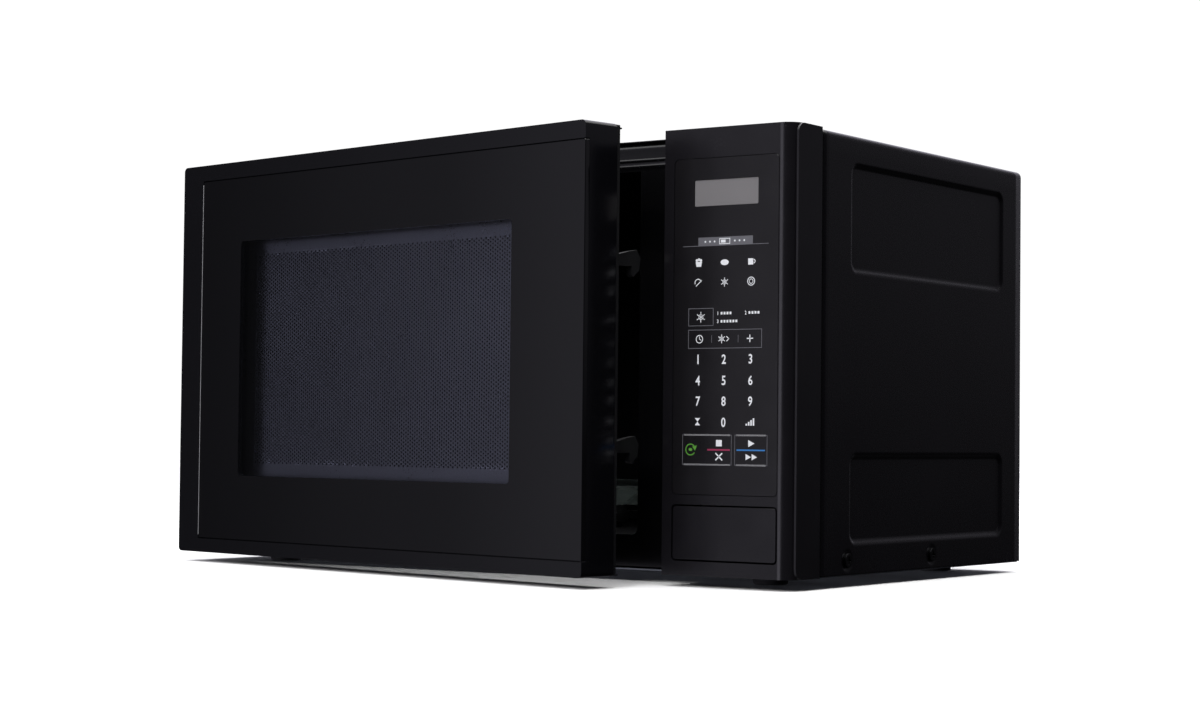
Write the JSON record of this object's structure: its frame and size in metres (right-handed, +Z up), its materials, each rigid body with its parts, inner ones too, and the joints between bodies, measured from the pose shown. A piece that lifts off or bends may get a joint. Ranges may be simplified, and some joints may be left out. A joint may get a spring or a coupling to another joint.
{
  "type": "microwave oven",
  "caption": "Compact countertop microwave oven with a side-hung door standing ajar, a flat keypad panel, a push button that opens the door and a turning glass tray.",
  "frame": {"origin": "on the surface that the oven stands on, under the middle of its overall box with the door ajar", "axes": "+X to the right seen from the front, +Y to the back, +Z up"},
  "size_m": [0.4579, 0.3777, 0.252],
  "materials": {
    "black_paint": "satin black textured paint",
    "dark_paint": "satin dark grey paint",
    "galvanised": "galvanised steel sheet",
    "cavity_paint": "charcoal enamel paint",
    "housing_plastic": "dark grey moulded plastic",
    "keypad_film": "printed polyester film",
    "display_grey": "grey tinted lens",
    "door_gloss": "gloss black printed panel",
    "door_plastic": "dark moulded plastic",
    "screen_black": "black painted perforated steel",
    "film": "clear polyester film",
    "acetal": "natural acetal",
    "rubber_black": "moulded rubber",
    "spring_steel": "spring wire",
    "zinc_steel": "zinc plated steel",
    "black_screw": "blackened screws",
    "copper_tone": "lacquered copper wire",
    "lamination": "varnished lamination stack",
    "can_aluminium": "drawn aluminium",
    "mica": "mica sheet",
    "board_green": "solder mask",
    "part_amber": "moulded parts",
    "black_plastic": "moulded plastic",
    "ceramic": "ceramic",
    "lamp_glass": "clear glass",
    "tray_glass": "pressed glass"
  },
  "bodies": {
    "oven": {"front_plate": "dark_paint", "front_rail": "dark_paint", "base_plate": "galvanised", "rear_panel": "galvanised", "rear_bulge": "galvanised", "cabinet_wrap": "black_paint", "oven_cavity": "cavity_paint", "feet": "rubber_black", "cabinet_screws": "black_screw", "hinge_brackets": "zinc_steel", "cord_gland": "black_plastic", "control_housing": "housing_plastic", "keypad": "keypad_film", "display_window": "display_grey", "display_module": "acetal", "control_board": "board_green", "board_parts": "part_amber", "button_spring": "spring_steel", "latch_board": "acetal", "interlock_switches": "black_plastic", "waveguide": "galvanised", "waveguide_cover": "mica", "magnetron": "galvanised", "magnetron_fins": "can_aluminium", "transformer_core": "lamination", "transformer_coils": "copper_tone", "capacitor": "can_aluminium", "capacitor_clamp": "zinc_steel", "diode": "black_plastic", "filter_board": "board_green", "fan_motor": "lamination", "fan_shroud": "black_plastic", "air_duct": "black_plastic", "lamp_holder": "ceramic", "oven_lamp": "lamp_glass", "thermal_cutouts": "ceramic", "turntable_motor": "galvanised"},
    "door": {"door_frame": "door_plastic", "door_glass": "door_gloss", "door_screen": "screen_black", "window_film": "film", "choke_cover": "black_plastic", "door_bushes": "acetal", "door_screws": "zinc_steel", "latch_spring": "spring_steel"},
    "latch_key": {"latch_key": "acetal"},
    "open_button": {"open_button": "housing_plastic"},
    "release_lever": {"release_lever": "acetal"},
    "fan": {"fan_blade": "black_plastic", "fan_shaft": "zinc_steel"},
    "turntable": {"turntable_shaft": "zinc_steel", "turntable_coupler": "acetal"},
    "glass_tray": {"glass_tray": "tray_glass"},
    "roller_ring": {"roller_ring": "black_plastic"},
    "roller_1": {"roller_1": "black_plastic"},
    "roller_2": {"roller_2": "black_plastic"},
    "roller_3": {"roller_3": "black_plastic"}
  },
  "joints": [
    {"name": "door_hinge", "type": "hinge", "parent": "oven", "child": "door", "pos_m": [-0.2185, -0.112, 0.129], "axis": [0, 0, -1], "range_deg": [-10.2, 90]},
    {"name": "latch_lift", "type": "slide", "parent": "door", "child": "latch_key", "axis": [0, 0, 1], "range_m": [0, 0.005], "stiffness_N_per_m": 400, "springref_m": -0.004, "deforming": ["latch_spring"]},
    {"name": "button_push", "type": "slide", "parent": "oven", "child": "open_button", "axis": [0, 1, 0], "range_m": [0, 0.005], "stiffness_N_per_m": 500, "springref_m": -0.003, "deforming": ["button_spring"]},
    {"name": "lever_turn", "type": "hinge", "parent": "oven", "child": "release_lever", "pos_m": [0.1345, -0.09, 0.052], "axis": [1, 0, 0], "range_deg": [0, 22.1]},
    {"name": "fan_spin", "type": "hinge", "parent": "oven", "child": "fan", "pos_m": [0.17115, 0.127, 0.186], "axis": [0, 1, 0], "continuous": true},
    {"name": "turntable_spin", "type": "hinge", "parent": "oven", "child": "turntable", "pos_m": [-0.045, 0.0375, 0.026], "axis": [0, 0, 1], "continuous": true},
    {"name": "tray_lift", "type": "slide", "parent": "turntable", "child": "glass_tray", "axis": [0, 0, 1], "range_m": [0, 0.03]},
    {"name": "ring_turn", "type": "hinge", "parent": "oven", "child": "roller_ring", "pos_m": [-0.045, 0.0375, 0.033], "axis": [0, 0, 1], "continuous": true},
    {"name": "roller_1_spin", "type": "hinge", "parent": "roller_ring", "child": "roller_1", "pos_m": [-0.045, 0.1255, 0.033], "axis": [0, 1, 0], "continuous": true},
    {"name": "roller_2_spin", "type": "hinge", "parent": "roller_ring", "child": "roller_2", "pos_m": [-0.12121, -0.0065, 0.033], "axis": [-0.866, -0.5, 0], "continuous": true},
    {"name": "roller_3_spin", "type": "hinge", "parent": "roller_ring", "child": "roller_3", "pos_m": [0.03121, -0.0065, 0.033], "axis": [0.866, -0.5, 0], "continuous": true}
  ],
  "couplings": [
    {"joint": "lever_turn", "follows": "button_push", "rad_per_m": 76.794},
    {"joint": "ring_turn", "follows": "turntable_spin", "ratio": 0.5},
    {"joint": "roller_1_spin", "follows": "turntable_spin", "ratio": -6.2857},
    {"joint": "roller_2_spin", "follows": "turntable_spin", "ratio": -6.2857},
    {"joint": "roller_3_spin", "follows": "turntable_spin", "ratio": -6.2857}
  ]
}
